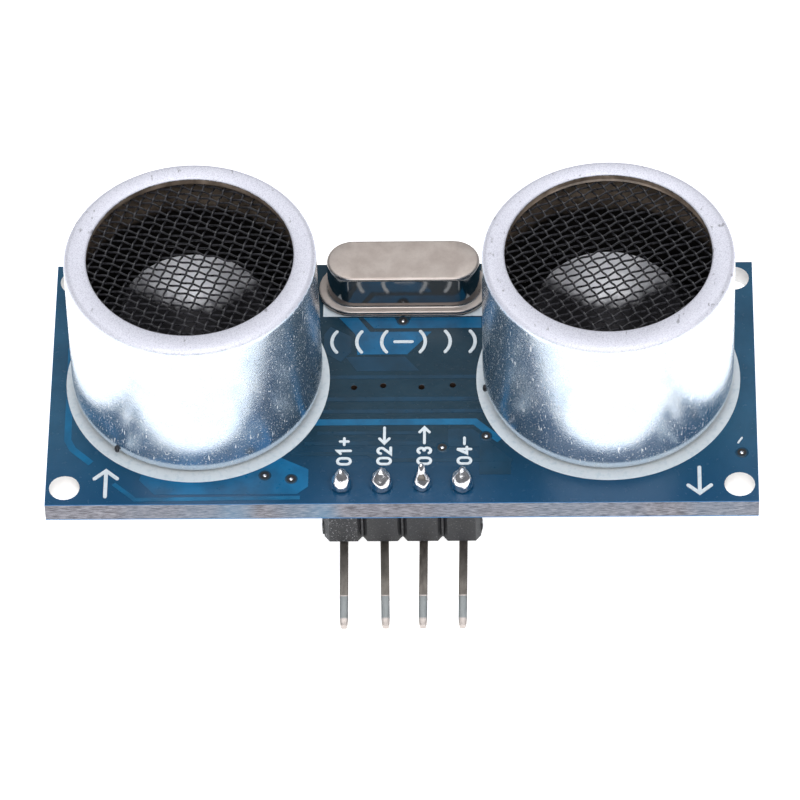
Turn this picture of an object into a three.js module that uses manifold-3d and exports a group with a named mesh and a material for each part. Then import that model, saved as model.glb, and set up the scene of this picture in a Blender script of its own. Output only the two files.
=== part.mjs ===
// Ultrasonic distance sensor module: a small circuit board that carries two open-type 40 kHz
// transducers, a quartz crystal, a right-angle pin header and the driver electronics on its back.
// Millimetres. +Z is the sensing direction, -Y is the header side, and the origin is the centre of
// the board's front face.

import * as THREE from 'three';
import { mergeVertices } from 'three/addons/utils/BufferGeometryUtils.js';
import Module from 'manifold-3d';

const wasm = await Module();
wasm.setup();

// ---------------------------------------------------------------- driving dimensions

const BOARD = { length: 45, depth: 20, thickness: 1.5 };
const CORNER_HOLE = { x: 21.3, y: 8.6, radius: 0.95 };
const CORNER_BLOCK = { x: 19.6, y: 7 };
const CLEAR_MIDDLE = { x: 4.9, front: -7.5, rear: 5.1 };
const VIA = { radius: 0.2, places: [[-3.12, -0.45], [-1.26, -0.3], [1.19, -0.45], [3.18, -0.3]] };

const TRANSDUCER = { x: 13.1, y: 0.2, radius: 8, wall: 0.5, top: 12 };
const CRIMP = { footRadius: 7.4, waistRadius: 7.82, waistHeight: 0.6, height: 1.35 };
const MOUTH = { radius: 6.5, lip: 0.5, edgeRounding: 0.35 };
const SCREEN = { radius: 7.4, top: 11.46, thickness: 0.2 };
const BASE = { footRadius: 6.85, shoulder: 1.7, plugRadius: 7.4, top: 2.8 };
const CUSHION = { innerRadius: 4.05, outerRadius: 4.6, notch: 0.7 };
const PLATE = { radius: 4.8, bottom: 3.7, thickness: 0.2 };
const PIEZO = { radius: 3.9, thickness: 0.5 };
const CONE = { footRadius: 0.8, rimRadius: 4.6, height: 3.1, wall: 0.2 };
const CAN_LEAD = { offset: 5, radius: 0.3, holeRadius: 0.45, top: 3.1 };
const WIRE_RADIUS = 0.08;

const CRYSTAL = { y: 7.6, flangeLength: 11.1, flangeDepth: 4.3, capLength: 9.85, capDepth: 3.4 };
const CRYSTAL_LEVELS = { bottom: 0.02, joint: 0.24, flangeTop: 0.48, top: 3.15 };
const CRYSTAL_LEAD = { x: 2.44, radius: 0.215, holeRadius: 0.35, top: 0.7 };
const CRYSTAL_WALL = 0.25;
const BLANK = { length: 7.8, thickness: 0.15, bottom: 0.8, top: 2.7 };

const HEADER = { pins: 4, pitch: 2.54, y: -8.57, height: 2.54, groove: 0.325, grooveDepth: 0.45 };
const PIN = { width: 0.6, top: 1.2, legHeight: -4.9, tipY: -16.05, bendRadius: 0.75, holeRadius: 0.5 };

const LEAD_BELOW_BOARD = 1.1;
const TOUCH = 0.02;
const CLEARANCE = 0.01;

const CHIP = { depth: 3.9, height: 1.35, lift: 0.12, leadPitch: 1.27, leadWidth: 0.42, span: 6 };
const CHIPS = [
  { name: 'mcu_chip', x: -7.6, y: 0.9, leads: 14 },
  { name: 'amplifier_chip', x: 0, y: 0.9, leads: 14 },
  { name: 'driver_chip', x: 7.6, y: 0.9, leads: 16 },
];
const TRANSISTOR = { x: 16.9, y: 0.6, length: 2.9, depth: 1.3, height: 1, lift: 0.1, span: 2.4 };

const PASSIVE = { length: 1.6, width: 0.82, resistorHeight: 0.45, capacitorHeight: 0.8 };
const RESISTORS = [[-10.4, -5.7], [-7.9, -5.7], [-5.4, -5.7], [5.4, -5.7], [7.9, -5.7], [10.4, -5.7]];
const CAPACITORS = [[-17, 3.4], [-17, -1.6], [17, 4.6], [17, -3.4], [-7.6, 7.6], [7.6, 7.6]];

const ROUND = 48;
const SMALL_ROUND = 16;
const back = -BOARD.thickness;

// ---------------------------------------------------------------- materials

const finish = (color, roughness, metalness) =>
  new THREE.MeshStandardMaterial({ color, roughness, metalness });

const material = {
  laminate: () => finish(0x1d4068, 0.35, 0),
  aluminium: () => finish(0xc9cbd2, 0.35, 0.9),
  screen: () => finish(0x17171a, 0.6, 0.3),
  ceramic: () => finish(0xcfc8b4, 0.7, 0),
  silicone: () => finish(0xdadada, 0.8, 0),
  base: () => finish(0xd8dade, 0.6, 0),
  tin: () => finish(0xa8a9ab, 0.3, 1),
  solder: () => finish(0xc5c7ca, 0.2, 1),
  wire: () => finish(0xb7793f, 0.4, 1),
  nickel: () => finish(0xb5ada2, 0.25, 1),
  quartz: () => finish(0xe9eef0, 0.1, 0),
  header: () => finish(0x2a2c30, 0.6, 0),
  chip: () => finish(0x1c1d1f, 0.55, 0),
  resistor: () => finish(0x17181a, 0.4, 0),
  capacitor: () => finish(0xa58a64, 0.5, 0),
};

// ---------------------------------------------------------------- geometry helpers

const toSolid = (geometry) => {
  const bare = geometry.clone();
  bare.deleteAttribute('normal');
  bare.deleteAttribute('uv');
  const merged = mergeVertices(bare.index ? bare.toNonIndexed() : bare, 1e-4);
  const vertProperties = new Float32Array(merged.attributes.position.array);
  const triVerts = new Uint32Array(merged.index.array);
  return new wasm.Manifold(new wasm.Mesh({ numProp: 3, vertProperties, triVerts }));
};

const toGeometry = (solid) => {
  const { vertProperties, triVerts } = solid.getMesh();
  const geometry = new THREE.BufferGeometry();
  geometry.setAttribute('position', new THREE.BufferAttribute(vertProperties, 3));
  geometry.setIndex(new THREE.BufferAttribute(triVerts, 1));
  geometry.computeVertexNormals();
  return geometry;
};

const cut = (body, ...tools) =>
  toGeometry(tools.reduce((solid, tool) => solid.subtract(toSolid(tool)), toSolid(body)));

const join = (body, ...others) =>
  toGeometry(others.reduce((solid, other) => solid.add(toSolid(other)), toSolid(body)));

// A box from its lowest to its highest corner.
const box = (low, high) => {
  const size = high.map((value, i) => value - low[i]);
  const centre = high.map((value, i) => (value + low[i]) / 2);
  return new THREE.BoxGeometry(...size).translate(...centre);
};

// A body of revolution about Z. The profile's [radius, height] points run up the outside.
const turned = (profile, segments = ROUND) => {
  const points = profile.map(([radius, height]) => new THREE.Vector2(radius, height));
  return new THREE.LatheGeometry(points, segments).rotateX(Math.PI / 2);
};

const disc = (radius, bottom, top, segments = ROUND) =>
  turned([[0, bottom], [radius, bottom], [radius, top], [0, top]], segments);

const ring = (inner, outer, bottom, top, segments = ROUND) =>
  turned([[inner, bottom], [outer, bottom], [outer, top], [inner, top], [inner, bottom]], segments);

const circlePath = (x, y, radius, segments) => {
  const path = new THREE.Path();
  for (let i = 0; i <= segments; i += 1) {
    const angle = (i / segments) * Math.PI * 2;
    const point = [x + radius * Math.cos(angle), y + radius * Math.sin(angle)];
    if (i === 0) path.moveTo(...point);
    else path.lineTo(...point);
  }
  return path;
};

const extruded = (shape, bottom, top, curveSegments = 12) => {
  const settings = { depth: top - bottom, bevelEnabled: false, curveSegments };
  return new THREE.ExtrudeGeometry(shape, settings).translate(0, 0, bottom);
};

// An outline with straight sides and half-round ends, as long as `length` in X.
const stadium = (length, depth) => {
  const radius = depth / 2;
  const reach = length / 2 - radius;
  const shape = new THREE.Shape();
  shape.moveTo(-reach, -radius);
  shape.lineTo(reach, -radius);
  shape.absarc(reach, 0, radius, -Math.PI / 2, Math.PI / 2, false);
  shape.lineTo(-reach, radius);
  shape.absarc(-reach, 0, radius, Math.PI / 2, Math.PI * 1.5, false);
  return shape;
};

// A tube of constant radius along a smooth curve through the points.
const tube = (points, radius, steps = 10) => {
  const section = new THREE.Shape(circlePath(0, 0, radius, 6).getPoints().slice(0, 6));
  const extrudePath = new THREE.CatmullRomCurve3(points.map((point) => new THREE.Vector3(...point)));
  return new THREE.ExtrudeGeometry(section, { steps, bevelEnabled: false, extrudePath });
};

const named = (name, geometry, finishName) => {
  const mesh = new THREE.Mesh(geometry, material[finishName]());
  mesh.name = name;
  return mesh;
};

// A fillet of solder round a lead, from the face at `level` outwards along `direction` (1 or -1).
const solderFillet = (footRadius, leadRadius, level, height, direction) => {
  const bore = leadRadius + CLEARANCE;
  const waist = bore + (footRadius - bore) * 0.35;
  const profile = [
    [bore, 0],
    [footRadius, 0],
    [footRadius * 0.85, height * 0.18],
    [waist, height * 0.55],
    [bore + 0.08, height],
    [bore, height],
    [bore, 0],
  ];
  const heights = profile.map(([radius, z]) => [radius, level + direction * (z + TOUCH)]);
  return turned(direction > 0 ? heights : heights.reverse(), SMALL_ROUND);
};

// ---------------------------------------------------------------- circuit board

const pinX = (i) => (i - (HEADER.pins - 1) / 2) * HEADER.pitch;

// A slab of the board's thickness between two corners, drilled through at [x, y, radius, segments].
function drilledSlab(left, front, right, rear, drillings) {
  const corners = [[left, front], [right, front], [right, rear], [left, rear]];
  const outline = new THREE.Shape(corners.map(([x, y]) => new THREE.Vector2(x, y)));
  outline.holes = drillings.map((drilling) => circlePath(...drilling));
  return extruded(outline, back, 0);
}

// The corners and the clear middle are slabs of their own, set into the main sheet, so that the flat
// faces there end at the parts around them.
function circuitBoard() {
  const right = BOARD.length / 2;
  const rear = BOARD.depth / 2;
  const drillings = [];
  const insets = [];
  for (const side of [-1, 1]) {
    for (const end of [-1, 1]) {
      const x = [side * CORNER_BLOCK.x, side * right].sort((a, b) => a - b);
      const y = [end * CORNER_BLOCK.y, end * rear].sort((a, b) => a - b);
      const hole = [side * CORNER_HOLE.x, end * CORNER_HOLE.y, CORNER_HOLE.radius, 24];
      insets.push([x[0], y[0], x[1], y[1], [hole]]);
      drillings.push([side * TRANSDUCER.x, TRANSDUCER.y + end * CAN_LEAD.offset, CAN_LEAD.holeRadius, 12]);
    }
    drillings.push([side * CRYSTAL_LEAD.x, CRYSTAL.y, CRYSTAL_LEAD.holeRadius, 10]);
  }
  for (let i = 0; i < HEADER.pins; i += 1) drillings.push([pinX(i), HEADER.y, PIN.holeRadius, 12]);
  const { x, front: middleFront, rear: middleRear } = CLEAR_MIDDLE;
  const vias = VIA.places.map((place) => [...place, VIA.radius, 8]);
  insets.push([-x, middleFront, x, middleRear, vias]);
  const windows = insets.map(([left, low, high, top]) => box([left, low, back - 1], [high, top, 1]));
  const sheet = cut(drilledSlab(-right, -rear, right, rear, drillings), ...windows);
  const board = join(sheet, ...insets.map((inset) => drilledSlab(...inset)));
  return named('circuit_board', board, 'laminate');
}

// ---------------------------------------------------------------- transducer

// A drawn cup with its open end turned inwards round the mouth and its foot crimped under the base.
function canGeometry() {
  const { radius, wall, top } = TRANSDUCER;
  const { edgeRounding, lip } = MOUTH;
  const roundedEdge = [0, 1, 2, 3].map((i) => {
    const angle = (i / 3) * (Math.PI / 2);
    return [
      radius - edgeRounding * (1 - Math.cos(angle)),
      top - edgeRounding * (1 - Math.sin(angle)),
    ];
  });
  const { footRadius, waistRadius, waistHeight, height } = CRIMP;
  return turned([
    [footRadius - wall, TOUCH],
    [footRadius, TOUCH],
    [waistRadius, waistHeight],
    [radius, height],
    ...roundedEdge,
    [MOUTH.radius, top],
    [MOUTH.radius, top - lip],
    [radius - wall, top - lip],
    [radius - wall, height + 0.1],
    [waistRadius - wall, waistHeight + 0.1],
    [footRadius - wall, TOUCH],
  ]);
}

function baseGeometry() {
  const plug = turned([
    [0, TOUCH],
    [BASE.footRadius, TOUCH],
    [BASE.plugRadius, BASE.shoulder],
    [BASE.plugRadius, BASE.top],
    [0, BASE.top],
  ]);
  const bores = [-1, 1].map((end) =>
    disc(CAN_LEAD.radius + 0.05, -1, BASE.top + 1, SMALL_ROUND).translate(0, end * CAN_LEAD.offset, 0));
  return cut(plug, ...bores);
}

// A thin soft ring that holds the vibrating plate, notched where a wire passes.
function cushionGeometry() {
  const { innerRadius, outerRadius, notch } = CUSHION;
  const low = BASE.top + TOUCH;
  const high = PLATE.bottom - TOUCH;
  const gap = box([-notch / 2, -outerRadius - 1, low - 1], [notch / 2, -innerRadius + 0.5, high + 1]);
  return cut(ring(innerRadius, outerRadius, low, high), gap);
}

// The metal horn whose small foot stands on the middle of the plate.
function coneGeometry() {
  const foot = PLATE.bottom + PLATE.thickness + TOUCH;
  const { footRadius, rimRadius, height, wall } = CONE;
  return turned([
    [0, foot],
    [footRadius, foot],
    [rimRadius, foot + height - wall],
    [rimRadius, foot + height],
    [rimRadius - wall, foot + height],
    [footRadius - wall, foot + wall],
    [0, foot + wall],
  ]);
}

function plateWireGeometry() {
  const y = CAN_LEAD.offset;
  const rest = PLATE.bottom + PLATE.thickness + WIRE_RADIUS + TOUCH * 2;
  const start = CAN_LEAD.top + TOUCH;
  const route = [[0, y, start], [0, y + 0.15, rest], [0, y - 0.1, rest + 0.4], [0, y - 0.6, rest]];
  return tube(route, WIRE_RADIUS);
}

function piezoWireGeometry() {
  const y = -CAN_LEAD.offset;
  const under = PLATE.bottom - TOUCH - PIEZO.thickness - WIRE_RADIUS - TOUCH * 2;
  const start = CAN_LEAD.top + TOUCH;
  const route = [[0, y, start], [0, y + 0.15, start + 0.2], [0, y + 0.7, under], [0, y + 1.6, under]];
  return tube(route, WIRE_RADIUS);
}

function transducer(prefix, side) {
  const group = new THREE.Group();
  group.position.set(side * TRANSDUCER.x, TRANSDUCER.y, 0);
  const add = (name, geometry, finishName) => group.add(named(`${prefix}_${name}`, geometry, finishName));
  const leadEnd = back - LEAD_BELOW_BOARD;
  add('can', canGeometry(), 'aluminium');
  add('screen', disc(SCREEN.radius, SCREEN.top - SCREEN.thickness, SCREEN.top), 'screen');
  add('cone', coneGeometry(), 'aluminium');
  add('plate', disc(PLATE.radius, PLATE.bottom, PLATE.bottom + PLATE.thickness), 'aluminium');
  const piezoTop = PLATE.bottom - TOUCH;
  add('piezo_disc', disc(PIEZO.radius, piezoTop - PIEZO.thickness, piezoTop), 'ceramic');
  add('cushion_ring', cushionGeometry(), 'silicone');
  add('base', baseGeometry(), 'base');
  add('plate_wire', plateWireGeometry(), 'wire');
  add('piezo_wire', piezoWireGeometry(), 'wire');
  for (const [letter, end] of [['a', 1], ['b', -1]]) {
    const y = end * CAN_LEAD.offset;
    const lead = disc(CAN_LEAD.radius, leadEnd, CAN_LEAD.top, SMALL_ROUND).translate(0, y, 0);
    const solder = solderFillet(1, CAN_LEAD.radius, back, 0.85, -1).translate(0, y, 0);
    add(`lead_${letter}`, lead, 'tin');
    add(`solder_${letter}`, solder, 'solder');
  }
  return group;
}

// ---------------------------------------------------------------- crystal

function crystal() {
  const { bottom, joint, flangeTop, top } = CRYSTAL_LEVELS;
  const { flangeLength, flangeDepth, capLength, capDepth } = CRYSTAL;
  const group = new THREE.Group();
  group.position.set(0, CRYSTAL.y, 0);
  const bores = [-1, 1].map((side) =>
    disc(CRYSTAL_LEAD.radius + 0.05, -1, 1, SMALL_ROUND).translate(side * CRYSTAL_LEAD.x, 0, 0));
  const base = cut(extruded(stadium(flangeLength, flangeDepth), bottom, joint), ...bores);
  const shell = join(
    extruded(stadium(flangeLength, flangeDepth), joint + TOUCH, flangeTop),
    extruded(stadium(capLength, capDepth), joint + TOUCH, top - 0.3),
    extruded(stadium(capLength - 0.3, capDepth - 0.3), joint + TOUCH, top),
  );
  const hollow = stadium(capLength - 2 * CRYSTAL_WALL, capDepth - 2 * CRYSTAL_WALL);
  const cavity = extruded(hollow, joint - 1, top - CRYSTAL_WALL - 0.05);
  const half = [BLANK.length / 2, BLANK.thickness / 2];
  group.add(named('crystal_cap', cut(shell, cavity), 'nickel'));
  group.add(named('crystal_base', base, 'nickel'));
  const blank = box([-half[0], -half[1], BLANK.bottom], [...half, BLANK.top]);
  group.add(named('crystal_blank', blank, 'quartz'));
  for (const [letter, side] of [['a', -1], ['b', 1]]) {
    const x = side * CRYSTAL_LEAD.x;
    const { radius } = CRYSTAL_LEAD;
    const end = back - LEAD_BELOW_BOARD;
    const lead = disc(radius, end, CRYSTAL_LEAD.top, SMALL_ROUND).translate(x, 0, 0);
    const solder = solderFillet(0.75, radius, back, 0.7, -1).translate(x, 0, 0);
    group.add(named(`crystal_lead_${letter}`, lead, 'tin'));
    group.add(named(`crystal_solder_${letter}`, solder, 'solder'));
  }
  return group;
}

// ---------------------------------------------------------------- pin header

// The moulding: one octagonal block per pin, so that V grooves lie between the pins.
function headerBody() {
  const { pins, pitch, y, height, groove, grooveDepth } = HEADER;
  const half = pitch / 2;
  const left = pinX(0) - half;
  const front = [];
  for (let i = 0; i < pins; i += 1) {
    const start = left + i * pitch;
    front.push([start, half - grooveDepth], [start + groove, half], [start + pitch - groove, half]);
  }
  front.push([left + pins * pitch, half - grooveDepth]);
  const rear = front.map(([x, depth]) => [x, -depth]).reverse();
  const outline = new THREE.Shape([...front, ...rear].map(([x, depth]) => new THREE.Vector2(x, depth)));
  const top = back - TOUCH;
  const body = extruded(outline, top - height, top).translate(0, y, 0);
  const reach = PIN.width / 2 + CLEARANCE;
  const slots = [];
  for (let i = 0; i < pins; i += 1) {
    const low = [pinX(i) - reach, y - reach, top - height - 1];
    slots.push(box(low, [pinX(i) + reach, y + reach, top + 1]));
  }
  return cut(body, ...slots);
}

// A square pin bent once: up through the board, and out past the board's front edge.
function pinGeometry() {
  const half = PIN.width / 2;
  const { top, legHeight, bendRadius, tipY } = PIN;
  const reach = HEADER.y - tipY;
  const taper = 0.5;
  const outline = new THREE.Shape();
  outline.moveTo(-half + 0.12, top);
  outline.lineTo(-half, top - taper);
  outline.lineTo(-half, legHeight - half + bendRadius);
  const bend = [bendRadius - half, legHeight - half + bendRadius];
  outline.absarc(...bend, bendRadius, Math.PI, Math.PI * 1.5, false);
  outline.lineTo(reach - taper, legHeight - half);
  outline.lineTo(reach, legHeight - half + 0.18);
  outline.lineTo(reach, legHeight + half - 0.18);
  outline.lineTo(reach - taper, legHeight + half);
  outline.lineTo(half, legHeight + half);
  outline.lineTo(half, top - taper);
  outline.lineTo(half - 0.12, top);
  outline.closePath();
  const settings = { depth: PIN.width, bevelEnabled: false, curveSegments: 5 };
  const flat = new THREE.ExtrudeGeometry(outline, settings).translate(0, 0, -half);
  return flat.rotateX(Math.PI / 2).rotateZ(-Math.PI / 2);
}

function header() {
  const group = new THREE.Group();
  group.add(named('header_body', headerBody(), 'header'));
  for (let i = 0; i < HEADER.pins; i += 1) {
    const reach = PIN.width / 2 + CLEARANCE;
    const pin = named(`header_pin_${i + 1}`, pinGeometry(), 'tin');
    pin.position.set(pinX(i), HEADER.y, 0);
    const profile = [[0, TOUCH], [0.65, TOUCH], [0.6, 0.3], [0.48, 0.7], [0.44, 0.95], [0, 0.95]];
    const cone = turned(profile, SMALL_ROUND);
    const bore = box([-reach, -reach, -1], [reach, reach, 2]);
    const solder = named(`header_solder_${i + 1}`, cut(cone, bore), 'solder');
    solder.position.set(pinX(i), HEADER.y, 0);
    group.add(pin, solder);
  }
  return group;
}

// ---------------------------------------------------------------- parts on the back

// A small-outline package, its long side along Y, hanging from the board's back face.
function chip({ name, x, y, leads }) {
  const { depth, height, lift, leadPitch, leadWidth, span } = CHIP;
  const perSide = leads / 2;
  const length = perSide * leadPitch - 0.24;
  const top = back - lift;
  const bend = (span - depth) / 2 * 0.45;
  const legs = [];
  for (const side of [-1, 1]) {
    for (let i = 0; i < perSide; i += 1) {
      const legY = (i - (perSide - 1) / 2) * leadPitch;
      const low = legY - leadWidth / 2;
      const high = legY + leadWidth / 2;
      const inner = side * (depth / 2 - 0.1);
      const knee = side * (depth / 2 + bend);
      const outline = new THREE.Shape([
        [inner, top - 0.55], [knee, top - 0.55], [knee, back - 0.22], [side * span / 2, back - 0.22],
        [side * span / 2, back - TOUCH], [knee - side * 0.2, back - TOUCH], [knee - side * 0.2, top - 0.35],
        [inner, top - 0.35],
      ].map(([u, v]) => new THREE.Vector2(u, v)));
      const leg = new THREE.ExtrudeGeometry(outline, { depth: high - low, bevelEnabled: false });
      legs.push(leg.rotateX(Math.PI / 2).translate(0, high, 0));
    }
  }
  const body = box([-depth / 2, -length / 2, top - height], [depth / 2, length / 2, top]);
  const mesh = named(name, join(body, ...legs), 'chip');
  mesh.position.set(x, y, 0);
  return mesh;
}

function transistor() {
  const { x, y, length, depth, height, lift, span } = TRANSISTOR;
  const top = back - lift;
  const body = box([-depth / 2, -length / 2, top - height], [depth / 2, length / 2, top]);
  const leg = (side, legY) => {
    const inner = side * (depth / 2 - 0.1);
    const outer = side * span / 2;
    const [low, high] = [Math.min(inner, outer), Math.max(inner, outer)];
    return box([low, legY - 0.2, back - 0.35], [high, legY + 0.2, back - TOUCH]);
  };
  const legs = [leg(-1, -0.95), leg(-1, 0.95), leg(1, 0)];
  const mesh = named('regulator_transistor', join(body, ...legs), 'chip');
  mesh.position.set(x, y, 0);
  return mesh;
}

// A chip resistor or capacitor with its long side along Y.
function passive(name, [x, y], height, finishName) {
  const { length, width } = PASSIVE;
  const low = [x - width / 2, y - length / 2, back - TOUCH - height];
  const high = [x + width / 2, y + length / 2, back - TOUCH];
  return named(name, box(low, high), finishName);
}

// ---------------------------------------------------------------- assembly

const sensor = new THREE.Group();
sensor.add(circuitBoard());
sensor.add(transducer('tx', -1));
sensor.add(transducer('rx', 1));
sensor.add(crystal());
sensor.add(header());
for (const settings of CHIPS) sensor.add(chip(settings));
sensor.add(transistor());
RESISTORS.forEach((place, i) => {
  sensor.add(passive(`resistor_${i + 1}`, place, PASSIVE.resistorHeight, 'resistor'));
});
CAPACITORS.forEach((place, i) => {
  sensor.add(passive(`capacitor_${i + 1}`, place, PASSIVE.capacitorHeight, 'capacitor'));
});

export default sensor;
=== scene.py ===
"""Ultrasonic distance sensor: the visual model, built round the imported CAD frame.

Metres, +Z out of the board's front face, -Y towards the pins.
"""

import math
import random

import bmesh
import bpy
from mathutils import Matrix, Vector, noise


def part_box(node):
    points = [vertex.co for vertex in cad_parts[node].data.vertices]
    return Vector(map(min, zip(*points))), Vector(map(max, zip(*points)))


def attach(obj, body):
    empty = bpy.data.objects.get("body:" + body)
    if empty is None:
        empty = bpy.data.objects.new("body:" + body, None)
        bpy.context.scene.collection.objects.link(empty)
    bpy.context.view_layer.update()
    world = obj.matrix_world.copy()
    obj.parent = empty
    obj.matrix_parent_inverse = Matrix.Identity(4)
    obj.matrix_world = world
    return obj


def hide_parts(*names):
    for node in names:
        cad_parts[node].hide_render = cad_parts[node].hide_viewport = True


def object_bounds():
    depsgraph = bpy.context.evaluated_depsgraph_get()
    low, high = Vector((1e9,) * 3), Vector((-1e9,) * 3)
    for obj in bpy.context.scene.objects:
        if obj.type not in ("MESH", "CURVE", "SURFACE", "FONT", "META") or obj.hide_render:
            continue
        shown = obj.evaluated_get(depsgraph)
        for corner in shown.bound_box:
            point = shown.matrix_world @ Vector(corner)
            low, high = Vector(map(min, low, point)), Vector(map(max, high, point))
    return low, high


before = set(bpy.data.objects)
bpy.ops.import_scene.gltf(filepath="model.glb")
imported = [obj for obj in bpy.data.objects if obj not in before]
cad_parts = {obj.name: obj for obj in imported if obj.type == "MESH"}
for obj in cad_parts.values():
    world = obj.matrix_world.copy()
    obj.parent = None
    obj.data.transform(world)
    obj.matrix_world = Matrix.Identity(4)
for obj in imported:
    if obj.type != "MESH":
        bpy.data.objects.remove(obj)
cad_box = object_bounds()

# Blender seeds its noise vectors from the clock unless a script seeds them.
noise.seed_set(1)

MM = 0.001
BODY = "module"


# ---- places taken from the frame

board_low, board_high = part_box("circuit_board")
FRONT = board_high.z
BACK = board_low.z
pin_low, pin_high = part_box("header_pin_1")
PIN_TIP_Y = pin_low.y
# A nick left by the wire feed, under a third of the way from the tip to the bend.
NICK_Y = pin_low.y + 0.3 * (pin_high.y - pin_low.y)


# ---- materials


def linear(r, g, b):
    """A display colour of 0 to 255 as the linear colour that shaders take."""
    channel = lambda c: c / 12.92 if c <= 0.04045 else ((c + 0.055) / 1.055) ** 2.4
    return (channel(r / 255), channel(g / 255), channel(b / 255), 1.0)


class Surface:
    """A Principled material whose colour, roughness and bump come from noise in object space."""

    def __init__(self, name, metallic=0.0, **fixed):
        self.material = bpy.data.materials.new(name)
        self.material.use_nodes = True
        self.nodes = self.material.node_tree.nodes
        self.links = self.material.node_tree.links
        self.shader = self.nodes["Principled BSDF"]
        self.shader.inputs["Metallic"].default_value = metallic
        for socket, value in fixed.items():
            self.shader.inputs[socket.replace("_", " ")].default_value = value
        self.place = self.nodes.new("ShaderNodeTexCoord").outputs["Object"]
        self.bump_out = None

    def node(self, kind, **values):
        made = self.nodes.new(kind)
        for key, value in values.items():
            setattr(made, key, value)
        return made

    def noise(self, grain, detail=4.0, stretch=(1, 1, 1), rough=0.6, distortion=0.0):
        """Noise with features about `grain` millimetres across, longer along the stretched axes."""
        mapping = self.node("ShaderNodeMapping")
        mapping.inputs["Scale"].default_value = [1 / (grain * MM * s) for s in stretch]
        self.links.new(self.place, mapping.inputs["Vector"])
        noise = self.node("ShaderNodeTexNoise")
        values = {"Scale": 1.0, "Detail": detail, "Roughness": rough, "Distortion": distortion}
        for key, value in values.items():
            noise.inputs[key].default_value = value
        self.links.new(mapping.outputs["Vector"], noise.inputs["Vector"])
        return noise.outputs["Fac"]

    def ramp(self, value, low, high, start=0.35, end=0.65):
        """Maps value between two colours, clamped outside start to end."""
        ramp = self.node("ShaderNodeValToRGB")
        for i, (position, colour) in enumerate(((start, low), (end, high))):
            ramp.color_ramp.elements[i].position = position
            ramp.color_ramp.elements[i].color = colour
        self.links.new(value, ramp.inputs["Fac"])
        return ramp.outputs["Color"]

    def remap(self, value, low, high, start=0.3, end=0.7):
        node = self.node("ShaderNodeMapRange")
        for key, number in zip(("From Min", "From Max", "To Min", "To Max"), (start, end, low, high)):
            node.inputs[key].default_value = number
        self.links.new(value, node.inputs["Value"])
        return node.outputs["Result"]

    def feed(self, sockets, values):
        """Links each value that is another node's output, and sets each that is a constant."""
        for socket, value in zip(sockets, values):
            if hasattr(value, "is_output"):
                self.links.new(value, socket)
            else:
                socket.default_value = value

    def mix(self, factor, first, second):
        node = self.node("ShaderNodeMix", data_type="RGBA")
        self.feed([node.inputs[i] for i in (0, 6, 7)], (factor, first, second))
        return node.outputs[2]

    def maths(self, operation, first, second=0.0):
        node = self.node("ShaderNodeMath", operation=operation)
        self.feed(node.inputs, (first, second))
        return node.outputs[0]

    def wobble(self, value, amount):
        """Noise of 0 to 1 as a shift each way, `amount` from end to end."""
        return self.maths("MULTIPLY", self.maths("SUBTRACT", value, 0.5), amount)

    def separate(self, vector):
        node = self.node("ShaderNodeSeparateXYZ")
        self.links.new(vector, node.inputs[0])
        return node.outputs

    def colour(self, value):
        self.links.new(value, self.shader.inputs["Base Color"])
        return self

    def rough(self, value):
        self.links.new(value, self.shader.inputs["Roughness"])
        return self

    def metallic(self, value):
        self.links.new(value, self.shader.inputs["Metallic"])
        return self

    def bump(self, value, height, strength=1.0):
        """Adds relief `height` millimetres deep; later calls lie on top of earlier ones."""
        node = self.node("ShaderNodeBump")
        node.inputs["Strength"].default_value = strength
        node.inputs["Distance"].default_value = height * MM
        self.links.new(value, node.inputs["Height"])
        if self.bump_out:
            self.links.new(self.bump_out, node.inputs["Normal"])
        self.bump_out = node.outputs["Normal"]
        self.links.new(self.bump_out, self.shader.inputs["Normal"])
        return self


def plain_surface(name, low, high, rough, grain, bump=0.0, metallic=0.0):
    """A surface with one noise for its colour and roughness and a finer one for its relief."""
    made = Surface(name, metallic)
    broad = made.noise(grain)
    made.colour(made.ramp(broad, linear(*low), linear(*high)))
    made.rough(made.remap(broad, *rough))
    if bump:
        made.bump(made.noise(grain / 4), bump)
    return made.material


def facing_up(made, low=0.6, high=0.9, ragged=0.0):
    """1 where the surface faces up, 0 on walls; `ragged` noise makes the border between them uneven."""
    normal = made.node("ShaderNodeNewGeometry").outputs["Normal"]
    tilt = made.maths("ADD", made.separate(normal)[2], ragged)
    return made.remap(tilt, 0.0, 1.0, low, high)


def can_inside_material():
    """The can's wall behind the screen: painted light near the mouth and painted shade further down."""
    made = Surface("can_inside", 0.0)
    height = made.separate(made.place)[2]
    cloud = made.noise(1.2)
    painted_light_wall = made.ramp(cloud, linear(92, 80, 70), linear(150, 134, 120))
    depth = made.maths("ADD", height, made.wobble(cloud, 1.5 * MM))
    # Painted light and shade by height: the lit colour near the mouth, a dark brown further down.
    made.colour(made.mix(made.remap(depth, 0.0, 1.0, 7.9 * MM, 8.9 * MM), linear(20, 18, 17), painted_light_wall))
    made.rough(made.remap(cloud, 0.35, 0.55))
    return made.material


def horn_material():
    """Aluminium, with a painted highlight on the rear part of the dish and painted shade on the rest, as the
    photo shows it.
    """
    made = Surface("horn_aluminium", 0.8)
    cloud = made.noise(0.8)
    bright = made.ramp(cloud, linear(226, 227, 234), linear(250, 250, 254))
    across = made.maths("ADD", made.separate(made.place)[1], made.maths("MULTIPLY", cloud, 1.2 * MM))
    # Painted light and shade: the rear of the dish keeps the bright colour as a painted highlight, and the
    # front is mixed to a dark grey as painted shade.
    made.colour(made.mix(made.remap(across, 0.0, 1.0, 2.7 * MM, 3.6 * MM), linear(48, 47, 50), bright))
    made.rough(made.remap(cloud, 0.48, 0.6))
    return made.material


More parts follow.
